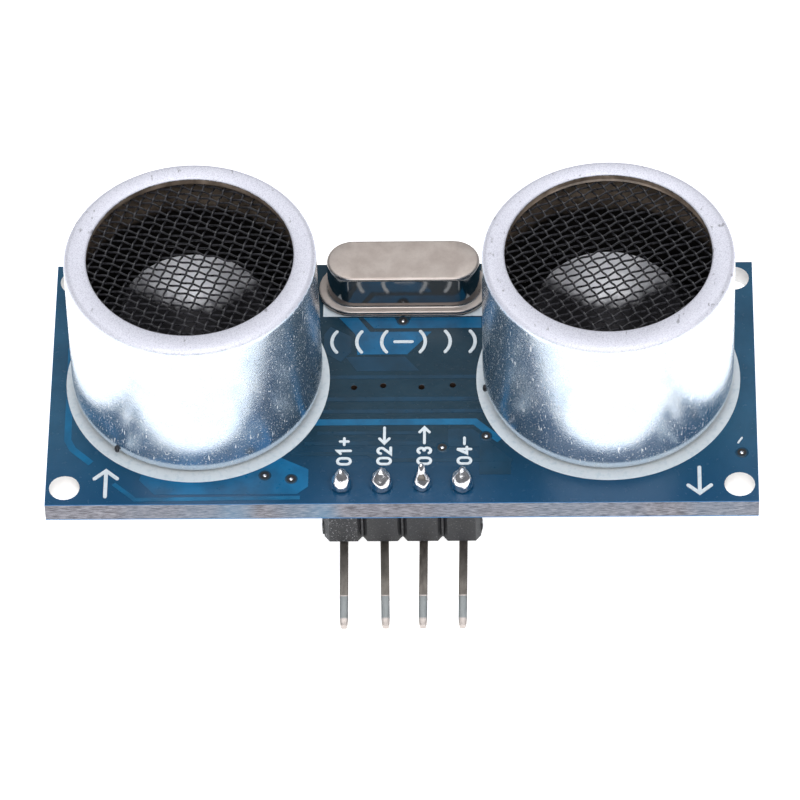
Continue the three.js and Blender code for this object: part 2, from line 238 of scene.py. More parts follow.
def pin_material():
    """Tinned wire, darker from the bend to the nick than towards the free end, brighter at the cut tip, with
    a painted highlight along the nick.
    """
    made = Surface("pin_tin", 0.75)
    y = made.separate(made.place)[1]
    streak = made.noise(0.35, stretch=(1, 3, 1))
    dark = made.ramp(streak, linear(112, 106, 100), linear(140, 134, 127))
    pale = made.ramp(streak, linear(122, 126, 127), linear(142, 146, 147))
    tone = made.mix(made.maths("LESS_THAN", y, NICK_Y), dark, pale)
    # Painted highlight: a narrow band along the nick takes the tip's pale colour.
    nick_painted_highlight = made.maths("LESS_THAN", made.maths("ABSOLUTE", made.maths("SUBTRACT", y, NICK_Y)), 0.05 * MM)
    tip = made.remap(y, 1.0, 0.0, PIN_TIP_Y + 0.45 * MM, PIN_TIP_Y + 0.6 * MM)
    tone = made.mix(made.maths("MAXIMUM", tip, nick_painted_highlight), tone, linear(190, 181, 176))
    made.colour(tone)
    made.rough(made.remap(streak, 0.38, 0.5))
    made.bump(made.noise(0.1, stretch=(1, 4, 1)), 0.003)
    return made.material


def can_material():
    """Drawn aluminium: satin on the wall, frosted and scuffed on the rim, with specks and scratches."""
    made = Surface("can_aluminium")
    grain = made.noise(0.075, detail=2, stretch=(1, 1, 1.4), rough=0.85)
    up = facing_up(made, 0.2, 0.55, made.wobble(made.noise(0.3), 0.9))
    cloud = made.noise(2.2, detail=6)
    specks = made.remap(made.noise(0.12, detail=1, rough=0.9), 0.0, 1.0, 0.67, 0.71)
    slant = made.noise(0.09, detail=0, stretch=(1, 1, 9), distortion=0.6)
    cross = made.noise(0.7, detail=2)
    scratches = made.maths("MULTIPLY", made.remap(slant, 0.0, 1.0, 0.71, 0.75),
                           made.remap(cross, 0.0, 1.0, 0.54, 0.6))
    scatter = made.maths("MAXIMUM", specks, scratches)
    wall = made.ramp(cloud, linear(206, 222, 238), linear(234, 243, 250))
    wall = made.mix(made.remap(grain, 0.0, 0.6, 0.48, 0.66), wall, linear(176, 192, 214))
    wall = made.mix(scatter, wall, linear(250, 252, 255))
    rim = made.mix(made.remap(grain, 0.0, 0.7, 0.44, 0.7), linear(240, 241, 252), linear(188, 188, 204))
    scuff = made.remap(made.noise(0.45, detail=6, stretch=(1, 2, 1)), 0.0, 0.6, 0.63, 0.7)
    rim = made.mix(scuff, rim, linear(104, 102, 108))
    made.colour(made.mix(up, wall, rim))
    rough = made.mix(up, made.remap(cloud, 0.13, 0.25), made.remap(cloud, 0.5, 0.6))
    made.rough(made.maths("ADD", rough, made.maths("MULTIPLY", scatter, 0.35)))
    solid = made.maths("SUBTRACT", 0.92, made.maths("MULTIPLY", scatter, 0.7))
    made.metallic(made.maths("SUBTRACT", solid, made.maths("MULTIPLY", up, 0.44)))
    made.bump(grain, 0.007, 1.0)
    made.bump(made.noise(1.6, detail=2), 0.012, 0.5)
    return made.material


def nickel_material():
    """Pressed nickel: satin on top, nearly a mirror on the walls."""
    made = Surface("crystal_nickel")
    up = facing_up(made)
    cloud = made.noise(1.3, detail=5)
    grain = made.noise(0.1, detail=3)
    tone = made.ramp(cloud, linear(186, 174, 167), linear(204, 194, 187))
    tone = made.mix(made.remap(grain, 0.0, 0.25, 0.55, 0.75), tone, linear(150, 140, 134))
    made.colour(made.mix(up, linear(150, 146, 144), tone))
    made.rough(made.mix(up, made.remap(cloud, 0.06, 0.13), made.remap(cloud, 0.42, 0.5)))
    made.metallic(made.remap(up, 1.0, 0.85, 0, 1))
    made.bump(grain, 0.003, 0.5)
    return made.material


def mask_material(name, low, high):
    """Glossy solder mask over copper, clouded, with a faint relief."""
    made = Surface(name, 0.0, Specular_IOR_Level=0.35)
    cloud = made.noise(2.6, detail=4)
    made.colour(made.ramp(cloud, linear(*low), linear(*high), 0.36, 0.64))
    made.rough(made.remap(made.noise(0.5), 0.26, 0.38))
    made.bump(made.noise(0.9, detail=6), 0.008, 0.5)
    return made.material


def board_material():
    """Mask on the two faces, bluer towards the sides and the front, and fibreglass on edges and holes."""
    made = Surface("board_mask", 0.0, Specular_IOR_Level=0.35)
    cloud = made.noise(3.2, detail=5)
    x, y, height = made.separate(made.place)
    mask = made.ramp(cloud, linear(18, 50, 66), linear(24, 58, 75), 0.3, 0.7)
    side = made.remap(made.maths("ABSOLUTE", x), 0.0, 1.0, 6 * MM, 20 * MM)
    mask = made.mix(side, mask, made.ramp(cloud, linear(36, 80, 108), linear(44, 92, 122)))
    front = made.remap(y, 0.0, 0.9, -4 * MM, -9.5 * MM)
    mask = made.mix(front, mask, linear(12, 72, 110))
    fibre = made.noise(0.06, detail=4, stretch=(12, 12, 1), rough=0.75)
    glass = made.ramp(fibre, linear(74, 72, 80), linear(160, 160, 168), 0.4, 0.6)
    tint = made.remap(made.noise(8, detail=2, stretch=(1, 1, 4)), 0.0, 0.8, 0.44, 0.6)
    blue_run = made.remap(made.maths("ABSOLUTE", made.maths("ADD", x, 6.5 * MM)), 1.0, 0.2, 3 * MM, 9 * MM)
    tint = made.maths("MULTIPLY", tint, blue_run)
    glass = made.mix(made.maths("MULTIPLY", tint, made.remap(fibre, 0.9, 0.4)), glass, linear(84, 150, 190))
    low_edge = made.maths("LESS_THAN", height, -1.4 * MM)
    high_edge = made.maths("GREATER_THAN", height, -0.045 * MM)
    rim = made.maths("MAXIMUM", low_edge, high_edge)
    glass = made.mix(rim, glass, linear(48, 120, 178))
    inside = made.maths("LESS_THAN", made.maths("ABSOLUTE", y), 9.9 * MM)
    inside = made.maths("MULTIPLY", inside, made.maths("LESS_THAN", made.maths("ABSOLUTE", x), 22.4 * MM))
    corner = made.maths("GREATER_THAN", made.maths("ABSOLUTE", x), 19 * MM)
    glass = made.mix(inside, glass, made.mix(corner, linear(52, 38, 30), linear(240, 238, 236)))
    normal = made.node("ShaderNodeNewGeometry").outputs["Normal"]
    up = made.maths("ABSOLUTE", made.separate(normal)[2])
    facing = made.maths("GREATER_THAN", up, 0.9)
    made.colour(made.mix(facing, glass, mask))
    made.rough(made.remap(made.maths("ADD", facing, made.noise(0.4)), 0.62, 0.26, 0.5, 1.4))
    made.bump(fibre, 0.02, 0.6)
    return made.material


def print_material():
    """White ink, worn a little."""
    made = Surface("white_print", 0.0)
    worn = made.noise(0.35, detail=5)
    made.colour(made.ramp(worn, linear(206, 219, 227), linear(226, 234, 239), 0.3, 0.5))
    made.rough(made.remap(worn, 0.5, 0.7))
    made.bump(worn, 0.008, 0.6)
    return made.material


def header_material():
    """Black plastic, with pale dust mainly at the end by pin 1."""
    made = Surface("header_plastic", 0.0)
    speck = made.noise(0.09, detail=3)
    cloud = made.noise(1.4)
    base = made.ramp(cloud, linear(25, 26, 29), linear(38, 39, 43))
    dusty = made.remap(made.separate(made.place)[0], 1.0, 0.2, -3.2 * MM, -2.2 * MM)
    dust = made.maths("MULTIPLY", made.remap(speck, 0.0, 0.9, 0.61, 0.69), dusty)
    made.colour(made.mix(dust, base, linear(190, 190, 194)))
    made.rough(made.remap(cloud, 0.42, 0.6))
    made.bump(speck, 0.012, 0.7)
    return made.material


def metal(name, low, high, rough, grain, bump=0.004):
    return plain_surface(name, low, high, rough, grain, bump, metallic=1.0)


MATERIALS = {
    "can": can_material(),
    "can_inside": can_inside_material(),
    "board": board_material(),
    "mask_bright": mask_material("mask_on_thick_copper", (12, 82, 120), (16, 108, 156)),
    "mask_trace": mask_material("mask_on_tracks", (15, 88, 126), (17, 112, 158)),
    "mask_dim": mask_material("mask_on_copper", (17, 54, 74), (18, 64, 90)),
    "print": print_material(),
    "screen": plain_surface("screen_wire", (26, 26, 29), (56, 56, 61), (0.22, 0.4), 0.3, 0.004),
    "horn": horn_material(),
    "plate": metal("plate_metal", (170, 168, 162), (205, 203, 198), (0.3, 0.45), 0.8),
    "ceramic": plain_surface("piezo_ceramic", (180, 172, 150), (205, 199, 180), (0.6, 0.8), 0.6, 0.01),
    "silicone": plain_surface("silicone", (190, 190, 186), (214, 214, 210), (0.6, 0.8), 0.8, 0.01),
    "base": plain_surface("base_plastic", (20, 20, 23), (36, 36, 40), (0.5, 0.7), 0.9, 0.01),
    "copper": metal("copper_wire", (176, 104, 56), (206, 132, 78), (0.3, 0.45), 0.4),
    "solder": metal("solder", (222, 222, 226), (246, 246, 248), (0.06, 0.16), 0.35, 0.005),
    "wire": metal("tinned_wire", (165, 165, 168), (205, 205, 208), (0.2, 0.35), 0.5),
    "pin": pin_material(),
    "nickel": nickel_material(),
    "quartz": plain_surface("quartz", (222, 230, 234), (240, 244, 246), (0.05, 0.12), 1.5),
    "header": header_material(),
    "chip": plain_surface("chip_epoxy", (24, 25, 27), (36, 37, 40), (0.45, 0.62), 0.5, 0.012),
    "resistor": plain_surface("resistor_film", (18, 19, 22), (32, 33, 37), (0.25, 0.4), 0.3, 0.006),
    "capacitor": plain_surface("capacitor_ceramic", (142, 112, 80), (168, 136, 100), (0.4, 0.55), 0.3, 0.008),
}


# ---- mesh helpers

# The corners of a rectangle, in order, as signs.
CORNERS = ((-1, -1), (1, -1), (1, 1), (-1, 1))
QUARTER_TURN = [math.radians(15 * i) for i in range(7)]


def piece(name, verts, faces, material, slot, **options):
    """A closed mesh, in metres in the row frame, riding on a body."""
    mesh = bpy.data.meshes.new(name)
    mesh.from_pydata([tuple(v) for v in verts], [], faces)
    return finish_mesh(name, mesh, material, slot, **options)


def finish_mesh(name, mesh, material, slot, body=BODY, replaces=(), smooth=True, poured=False):
    """A poured shape is smooth all over; others keep their flat faces flat and their corners sharp."""
    work = bmesh.new()
    work.from_mesh(mesh)
    bmesh.ops.remove_doubles(work, verts=work.verts, dist=1e-7)
    bmesh.ops.recalc_face_normals(work, faces=work.faces)
    work.to_mesh(mesh)
    work.free()
    mesh.update()
    mesh.materials.append(MATERIALS[material])
    made = bpy.data.objects.new(name, mesh)
    bpy.context.scene.collection.objects.link(made)
    if smooth or poured:
        mesh.shade_smooth()
    if smooth and not poured:
        mesh.set_sharp_from_angle(angle=math.radians(48))
        made.modifiers.new("face_weighted_normals", "WEIGHTED_NORMAL").keep_sharp = True
    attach(made, body)
    if replaces:
        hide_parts(*replaces)
    return made


class Build:
    """Collects several closed shapes into the vertices and faces of one piece."""

    def __init__(self):
        self.verts = []
        self.faces = []

    def add(self, verts, faces):
        start = len(self.verts)
        self.verts += [Vector(v) for v in verts]
        self.faces += [[start + i for i in face] for face in faces]

    def take(self, work):
        """Adds the faces of a bmesh and frees it."""
        work.verts.index_update()
        self.add([v.co.copy() for v in work.verts], [[v.index for v in f.verts] for f in work.faces])
        work.free()

    def rings(self, rings, closed=False):
        """Skins a list of rings with the same number of points. Ends are capped unless the list closes."""
        count = len(rings[0])
        verts = [point for ring in rings for point in ring]
        faces = []
        spans = len(rings) if closed else len(rings) - 1
        for i in range(spans):
            low, high = i * count, ((i + 1) % len(rings)) * count
            for j in range(count):
                after = (j + 1) % count
                faces.append([low + j, low + after, high + after, high + j])
        if not closed:
            faces.append(list(range(count))[::-1])
            faces.append([(len(rings) - 1) * count + j for j in range(count)])
        self.add(verts, faces)

    def turned(self, centre, profile, segments=96, closed=False):
        """A body of revolution about a Z line: the profile is [radius, height] points."""
        angles = [2 * math.pi * i / segments for i in range(segments)]
        self.rings([[Vector((centre[0] + r * math.cos(a), centre[1] + r * math.sin(a), z)) for a in angles]
                    for r, z in profile], closed)

    def box(self, low, high, bevel=0.0, segments=2):
        work = bmesh.new()
        bmesh.ops.create_cube(work, size=1.0)
        size = Vector(high) - Vector(low)
        for vert in work.verts:
            vert.co = Vector(low) + Vector([size[i] * (vert.co[i] + 0.5) for i in range(3)])
        if bevel:
            bmesh.ops.bevel(work, geom=work.edges[:], offset=bevel, segments=segments, affect="EDGES")
        self.take(work)

    def ribbon(self, points, width, low, high, close=False):
        """A flat strip along 2D points, with mitred corners."""
        points = [Vector(p) for p in points]
        count = len(points)
        left, right = [], []
        for i, point in enumerate(points):
            before = points[i - 1] if i or close else None
            after = points[(i + 1) % count] if i < count - 1 or close else None
            steps = [(b - a).normalized() for a, b in ((before, point), (point, after)) if a and b]
            along = sum(steps, Vector((0, 0))).normalized()
            across = Vector((-along.y, along.x)) * (width / 2 / max(0.4, along.dot(steps[0])))
            left.append(point + across)
            right.append(point - across)
        rings = [[(*r, low), (*l, low), (*l, high), (*r, high)] for l, r in zip(left, right)]
        self.rings([[Vector(p) for p in ring] for ring in rings], close)

    def plate(self, outline, low, high):
        """A flat polygon with thickness; the outline is 2D points."""
        self.rings([[Vector((*p, z)) for p in outline] for z in (low, high)])

    def tube(self, points, radius, sides=6):
        """A round wire along points that lie near one plane parallel to Z."""
        rings = []
        for i, point in enumerate(points):
            ahead = points[min(i + 1, len(points) - 1)] - points[max(i - 1, 0)]
            side = ahead.cross(Vector((0, 0, 1))).normalized()
            up = side.cross(ahead).normalized()
            angles = [2 * math.pi * j / sides for j in range(sides)]
            rings.append([point + radius * (side * math.cos(a) + up * math.sin(a)) for a in angles])
        self.rings(rings)

    def piece(self, name, material, slot, **options):
        return piece(name, self.verts, self.faces, material, slot, **options)


def arc(centre, radius, start, end, steps):
    """2D points on an arc, angles in degrees."""
    angles = [math.radians(start + (end - start) * i / steps) for i in range(steps + 1)]
    return [Vector((centre[0] + radius * math.cos(a), centre[1] + radius * math.sin(a))) for a in angles]


def lifted(profile, base):
    """A profile of [radius, height] in mm, as metres above a base height in metres."""
    return [(radius * MM, base + height * MM) for radius, height in profile]


def middle(node):
    low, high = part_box(node)
    return (low + high) / 2


def ripple(build, amount, grain, seed):
    """Moves each point up to `amount` mm along a smooth random field, for hand-made shapes."""
    shift = Vector((seed * 17.3, seed * 5.1, seed * 9.7))
    for vert in build.verts:
        vert += Vector(noise.noise_vector(vert / (grain * MM) + shift)) * amount * MM


# ---- circuit board


def circuit_board():
    """The CAD board, with its coplanar triangles merged and its edges broken."""
    work = bmesh.new()
    work.from_mesh(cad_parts["circuit_board"].data)
    bmesh.ops.remove_doubles(work, verts=work.verts, dist=1e-6)
    bmesh.ops.dissolve_limit(work, angle_limit=math.radians(1), verts=work.verts, edges=work.edges)
    sharp = [e for e in work.edges if len(e.link_faces) == 2 and e.calc_face_angle() > math.radians(60)]
    bmesh.ops.bevel(work, geom=sharp, offset=0.03 * MM, segments=1, affect="EDGES")
    mesh = bpy.data.meshes.new("board")
    work.to_mesh(mesh)
    work.free()
    finish_mesh("board", mesh, "board", "board_mask", replaces=("circuit_board",))


# Copper under the mask shows as lighter strips and areas that stand a little proud. A strip is its width
# and its points, and an area is its outline, all in mm.
BRIGHT_TRACES = [
    [0.45, [(-21.3, 3.0), (-21.25, -4.7), (-20.9, -5.45), (-19.7, -6.6)]],
    [0.3, [(-18.2, -8.3), (-16.8, -9.6), (-6.4, -9.5)]],
    [0.5, [(-5.6, -3.35), (4.6, -3.35), (6.2, -4.9)]],
]
DIM_TRACES = [
    [0.3, [(-5.9, -2.45), (5.2, -2.45)]],
    [0.26, [(-5.4, -4.25), (1.4, -4.25)]],
    [0.3, [(-6.2, -5.1), (1.6, -5.1), (2.54, -5.47)]],
    [0.28, [(-4.9, 0.4), (4.9, 0.4)]],
    [0.34, [(-4.9, -1.45), (4.9, -1.45)]],
    [0.3, [(-7.0, -5.95), (-2.2, -5.95), (-1.2, -6.5), (7.0, -6.5)]],
]
BRIGHT_POURS = [
    [(-16.6, -8.0), (-15.6, -9.2), (-6.6, -9.2), (-5.9, -8.6), (-5.9, -7.2), (-9.6, -5.2), (-13.1, -4.2),
     (-16.0, -6.0)],
    [(-4.15, 5.4), (-2.95, 5.4), (-2.15, 4.2), (1.8, 4.2), (0.25, 2.3), (-2.95, 2.3), (-3.1, 4.0)],
    [(-2.6, 5.4), (-0.6, 5.4), (-0.35, 4.9), (0.25, 4.9), (0.5, 5.4), (5.0, 5.4), (5.0, 4.5), (-1.9, 4.5)],
]
DIM_POURS = [
    [(-5.1, 4.0), (-4.7, 4.65), (-3.35, 3.8), (-3.35, 2.5), (-4.0, 1.7), (-5.1, 2.5)],
    [(-3.7, 2.1), (0.1, 2.1), (1.05, 0.9), (-2.95, 0.9)],
    [(2.9, -3.95), (4.5, -3.95), (6.9, -6.4), (6.9, -7.7), (4.9, -7.7), (4.9, -5.4), (2.9, -5.4)],
]
VIAS = [(2.54, -5.47), (5.31, -4.55), (-8.65, -7.69), (-6.98, -7.98), (21.5, -6.03), (-0.05, 5.12)]
VIA_RIM = [(0.22, -0.02), (0.46, -0.02), (0.4, 0.02), (0.28, 0.03), (0.22, 0.01)]
# The dark disc inside each via's rim is painted shade in the via's hole.
VIA_SHADE_DISC = [(0.001, -0.02), (0.3, -0.02), (0.3, 0.03), (0.001, 0.03)]
VIA_FILLING = [(0.001, 0.01), (0.15, 0.01), (0.12, 0.06), (0.001, 0.1)]
COPPER_RISE = 0.016 * MM
PRINT_RISE = 0.055 * MM


def scaled(points):
    return [(x * MM, y * MM) for x, y in points]


def copper():
    """Tracks, areas and filled vias on the front, with painted shade as a dark disc in each via. No two
    overlapping shapes have quite the same height.
    """
    lift = lambda i: COPPER_RISE * (0.8 + 0.03 * i)
    areas = [("bright", [], BRIGHT_POURS), ("trace", BRIGHT_TRACES, []), ("dim", DIM_TRACES, DIM_POURS)]
    for name, traces, pours in areas:
        build = Build()
        for i, (width, points) in enumerate(traces):
            build.ribbon(scaled(points), width * MM, FRONT - lift(i), FRONT + lift(i))
        for i, outline in enumerate(pours):
            build.plate(scaled(outline), FRONT - lift(-i - 1), FRONT + lift(-i - 1))
        build.piece("copper_" + name, "mask_" + name, "board_mask")
    rims, shade_discs, fillings = Build(), Build(), Build()
    for place in scaled(VIAS):
        rims.turned(place, lifted(VIA_RIM, FRONT), 24, closed=True)
        shade_discs.turned(place, lifted(VIA_SHADE_DISC, FRONT), 24)
        fillings.turned(place, lifted(VIA_FILLING, FRONT), 16)
    rims.piece("via_rims", "mask_dim", "board_mask")
    shade_discs.piece("via_shade_discs", "chip", "board_mask")
    fillings.piece("via_fillings", "solder", "solder")


# ---- white print

# Each sign is a list of lines, in mm round its own middle.
DIGITS = {
    0: [arc((0, 0.22), 0.32, 0, 180, 8) + arc((0, -0.22), 0.32, 180, 360, 8) + [Vector((0.32, 0.22))]],
    1: [[(-0.28, 0.3), (0.02, 0.54), (0.02, -0.54)]],
    2: [arc((0, 0.24), 0.3, 170, -30, 8) + [Vector((-0.32, -0.54)), Vector((0.34, -0.54))]],
    3: [arc((0, 0.26), 0.28, 150, -80, 8), arc((0, -0.24), 0.3, 80, -150, 8)],
    4: [[(0.14, -0.54), (0.14, 0.54)], [(0.1, 0.54), (-0.32, -0.2), (0.36, -0.2)]],
}
PLUS = [[(-0.3, 0), (0.3, 0)], [(0, -0.3), (0, 0.3)]]
MINUS = [[(-0.3, 0), (0.3, 0)]]
ARROW = [[(-0.75, 0), (0.75, 0)], [(0.3, 0.36), (0.75, 0), (0.3, -0.36)]]
UP_ARROW = [[(0, -1.05), (0, 1.0)], [(-0.72, 0.4), (0, 1.05), (0.72, 0.4)]]
# Marks beside the four pins: the pin's number, then supply, input, output or ground.
PIN_SIGNS = {1: (PLUS, 0), 2: (ARROW, 180), 3: (ARROW, 0), 4: (MINUS, 0)}


def strokes(build, lines, at, width, size=1.0, turn=0.0):
    """Draws 2D lines, in mm, as white strips with round ends about a place on the front face."""
    spin = Matrix.Rotation(math.radians(turn), 2)
    for i, line in enumerate(lines):
        points = [spin @ (Vector(p) * size) for p in line]
        points = scaled([(at[0] + p.x, at[1] + p.y) for p in points])
        build.ribbon(points, width * MM, FRONT, FRONT + PRINT_RISE + i * 0.002 * MM)
        for end in (points[0], points[-1]):
            rise = PRINT_RISE + (i * 0.002 + 0.001) * MM
            build.plate(arc(end, width * MM / 2, 0, 330, 11), FRONT, FRONT + rise)


def wave_row():
    """Three sound waves each way from a bar: marks for a transmitter and a receiver."""
    rows = [[(-0.55, 0), (0.55, 0)]]
    for side, heading in ((-1, 180), (1, 0)):
        for i in range(3):
            rows.append(arc((side * (1.6 * i + 0.05), 0), 1.35, heading - 40, heading + 40, 8))
    return rows


CAN_RING = [(7.1, 0), (8.42, 0), (8.42, 0.03), (8.38, 0.05), (7.1, 0.05)]


def white_print():
    """A ring round each can, a bar behind the crystal, the pins' marks, the waves and two arrows."""
    build = Build()
    for prefix in ("tx", "rx"):
        x, y, _ = middle(prefix + "_can")
        build.turned((x, y), lifted(CAN_RING, FRONT), 128, closed=True)
    low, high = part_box("crystal_base")
    reach, front, rear = 5.2 * MM, low.y + 0.06 * MM, (low.y + high.y) / 2
    build.plate([(-reach, front), (reach, front), (reach, rear), (-reach, rear)], FRONT, FRONT + 0.018 * MM)
    for number, (sign, turn) in PIN_SIGNS.items():
        x, y, _ = middle(f"header_solder_{number}")
        x, y = x / MM + 0.14, y / MM + 1.98
        strokes(build, DIGITS[0], (x, y), 0.18, 0.76, 90)
        strokes(build, DIGITS[number], (x, y + 0.84), 0.18, 0.76, 90)
        reach = 1.62 if sign is not ARROW else 2.1
        strokes(build, sign, (x, y + reach), 0.18, 0.86, 90 + turn)
    strokes(build, wave_row(), (0, 3.33), 0.22)
    strokes(build, UP_ARROW, (-18.7, -8.3), 0.24)
    strokes(build, UP_ARROW, (18.78, -8.3), 0.24, turn=180)
    strokes(build, [[(-0.12, -0.2), (0.12, 0.2)]], (21.4, -5.05), 0.12)
    build.piece("white_print", "print", "board_mask")


# ---- transducers

# How far, in mm, the wall has drawn in by the time it reaches the lip.
CAN_TAPER = 0.07
# The rim was rolled in unevenly, so each mouth lies a little towards the board's rear edge.
MOUTH_SHIFT = {"tx": 0.08 * MM, "rx": 0.2 * MM}


def can(prefix):
    """The shell with its crimped foot and rolled lip; its inside takes a material with painted light near the
    mouth and painted shade further down.
    """
    low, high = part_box(prefix + "_can")
    x, y, _ = middle(prefix + "_can")
    top, foot = high.z, low.z
    radius = (high.x - low.x) / 2
    r = lambda inset: radius - inset * MM
    z = lambda height: foot + height * MM
    foot_steps = ((1.1, 0.0), (0.62, 0.0), (0.5, 0.06), (0.3, 0.32), (0.14, 0.68), (0.05, 1.0), (0.02, 1.25),
                  (0.0, 1.5))
    profile = [(r(inset), z(height)) for inset, height in foot_steps] + [(r(CAN_TAPER), top - 0.6 * MM)]
    lip = 0.38 * MM
    profile += [(r(CAN_TAPER) - lip + lip * math.cos(a), top - lip + lip * math.sin(a)) for a in QUARTER_TURN]
    mouth = 6.5 * MM
    profile += [(mouth + 0.12 * MM, top), (mouth + 0.03 * MM, top - 0.04 * MM), (mouth, top - 0.12 * MM),
                (mouth, top - 0.42 * MM), (mouth + 0.08 * MM, top - 0.5 * MM),
                (r(0.5), top - 0.5 * MM), (r(0.5), z(1.45)), (r(0.7), z(0.7)), (r(1.1), z(0.1))]
    build = Build()
    build.turned((x, y), profile, 160, closed=True)
    for vert in build.verts:
        if vert.z > top - 0.45 * MM and (vert.xy - Vector((x, y))).length < mouth + 0.2 * MM:
            vert.y += MOUTH_SHIFT[prefix]
    made = build.piece(prefix + "_can_shell", "can", "can_aluminium", replaces=(prefix + "_can",))
    made.data.materials.append(MATERIALS["can_inside"])
    for face in made.data.polygons:
        across = Vector((face.center.x - x, face.center.y - y)).length
        if across < r(0.3) and face.center.z < top - 0.2 * MM:
            face.material_index = 1


CREASE_SPOT_PROFILE = [(0.001, 0.55), (0.13, 0.6), (0.16, 0.8), (0.13, 1.0), (0.001, 1.06)]


def add_crease_dark_spot(prefix, angle):
    """A small dark spot in the crease between a can's wall and its foot: painted shade."""
    x, y, _ = middle(prefix + "_can")
    reach = 7.98 * MM
    place = (x + reach * math.cos(math.radians(angle)), y + reach * math.sin(math.radians(angle)))
    build = Build()
    build.turned(place, lifted(CREASE_SPOT_PROFILE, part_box(prefix + "_can")[0].z), 20)
    ripple(build, 0.03, 0.2, 3)
    build.piece(prefix + "_painted_crease_shade", "header", "can_aluminium", poured=True)


# The wire's radius, how far it rises and dips, and each can's two lattice steps in mm.
WIRE = 0.07 * MM
CRIMP = 0.08 * MM
POINTS_PER_STEP = 5
WEAVES = {"tx": ((0.638, -0.199), (0.153, 0.474)), "rx": ((0.63, 0.335), (0.259, -0.444))}


def woven_screen(prefix):
    """Plain weave: each family runs along one lattice step, passing over and under the other in turn."""
    low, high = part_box(prefix + "_screen")
    centre = middle(prefix + "_screen")
    reach = (high.x - low.x) / 2 - 0.05 * MM
    level = high.z - WIRE - CRIMP
    steps = [Vector(step) * MM for step in WEAVES[prefix]]
    draw = random.Random(7 if prefix == "tx" else 11)
    build = Build()
    for family, (along, across) in enumerate((steps, steps[::-1])):
        side = -1 if family else 1
        away = Vector((-along.y, along.x)).normalized()
        lines = int(reach / abs(across.dot(away)))
        for k in range(-lines, lines + 1):
            start = across * k
            nearest = -start.dot(along) / along.length_squared
            square = reach**2 - (start + along * nearest).length_squared
            if square < (0.4 * MM) ** 2:
                continue
            half = math.sqrt(square) / along.length
            shift = draw.uniform(-0.03, 0.03) * MM
            bend = draw.uniform(-0.05, 0.05) * MM
            phase = draw.uniform(0, 6.28)
            count = int(half * 2 * POINTS_PER_STEP)
            points = []
            for i in range(count + 1):
                s = nearest - half + 2 * half * i / count
                sway = shift + bend * math.sin(s * 0.33 + phase)
                flat = start + along * s + away * sway
                height = level + side * CRIMP * math.cos(math.pi * (s + k))
                points.append(Vector((centre.x + flat.x, centre.y + flat.y, height)))
            build.tube(points, WIRE)
    build.piece(prefix + "_woven_screen", "screen", "screen_wire", replaces=(prefix + "_screen",))


def horn(prefix):
    """The resonator's thin flared dish."""
    low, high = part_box(prefix + "_cone")
    x, y, _ = middle(prefix + "_cone")
    rim = (high.x - low.x) / 2
    foot, top = low.z, high.z
    hub, wall, flare = 0.8 * MM, 0.18 * MM, 1.7
    shares = [i / 16 for i in range(17)]
    outer = [(hub + (rim - hub) * t, foot + (top - foot - wall) * t**flare) for t in shares]
    inner = [(max(radius - 0.05 * MM, 0), height + wall) for radius, height in reversed(outer)]
    profile = [(1e-6, foot)] + outer + [(rim, top - wall * 0.3)] + inner + [(1e-6, foot + wall)]
    build = Build()
    build.turned((x, y), profile, 96)
    build.piece(prefix + "_horn", "horn", "horn_aluminium", body=prefix + "_resonator",
                replaces=(prefix + "_cone",))


# ---- solder


# [radius, height], as shares of the fillet's foot and height.
FILLET = [(1.0, 0.0), (0.97, 0.1), (0.8, 0.28), (0.55, 0.5), (0.4, 0.75), (0.33, 0.98), (0.22, 1.12),
          (0.001, 1.16)]
# Each drop by a pin: its height and foot radius in mm, how full it is, and its lean towards the rear.
DROPS = [(1.62, 0.63, 1.0, 0.02), (1.55, 0.68, 0.95, 0.1), (1.85, 0.57, 0.2, 0.16), (1.6, 0.7, 1.05, 0.08)]


def back_solder(node, seed):
    """A fillet that hangs from the back face round a lead."""
    low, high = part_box(node)
    x, y, _ = middle(node)
    foot = (high.x - low.x) / 2
    tall = high.z - low.z
    build = Build()
    build.turned((x, y), [(foot * r, high.z - tall * h) for r, h in FILLET], 32)
    ripple(build, 0.05, 0.7, seed)
    for vert in build.verts:
        vert.z = min(vert.z, BACK)
    build.piece(node + "_fillet", "solder", "solder", replaces=(node,), poured=True)


def pin_solder(index):
    """The bright drop round a header pin's cut end on the front face."""
    node = f"header_solder_{index}"
    x, y, _ = middle(node)
    tall, foot, full, lean = DROPS[index - 1]
    profile = [(0.94, 0.0), (1.0, 0.05), (1.04, 0.14), (1.0 + 0.03 * full, 0.25), (0.84 + 0.17 * full, 0.36),
               (0.66 + 0.28 * full, 0.46), (0.54 + 0.32 * full, 0.56), (0.45 + 0.28 * full, 0.66),
               (0.4 + 0.16 * full, 0.76), (0.32 + 0.04 * full, 0.87), (0.18, 0.96), (0.001, 1.0)]
    build = Build()
    build.turned((x, y), lifted([(foot * r, tall * h) for r, h in profile], FRONT), 32)
    for vert in build.verts:
        vert.y += lean * (vert.z - FRONT)
    ripple(build, 0.07, 0.55, index)
    for vert in build.verts:
        vert.z = max(vert.z, FRONT - 0.01 * MM)
    build.piece(node + "_drop", "solder", "solder", replaces=(node,), poured=True)


# ---- crystal


def stadium_rings(centre, size, levels, steps=14):
    """Outlines with straight sides and half-round ends; each level is an inset in mm and a height."""
    rings = []
    for inset, z in levels:
        length, depth = size[0] - 2 * inset * MM, size[1] - 2 * inset * MM
        radius = depth / 2
        reach = max(length / 2 - radius, 0)
        outline = arc((centre.x + reach, centre.y), radius, -90, 90, steps)
        outline += arc((centre.x - reach, centre.y), radius, 90, 270, steps)
        rings.append([Vector((p.x, p.y, z)) for p in outline])
    return rings


# [inset, height above the flange's underside], in mm.
FLANGE_STEPS = [(0.06, 0.0), (0.0, 0.04), (0.0, 0.12), (0.05, 0.18), (0.12, 0.21)]
CAP_STEPS = [(-0.14, 0.22), (-0.07, 0.25), (-0.02, 0.31), (0.0, 0.4)]


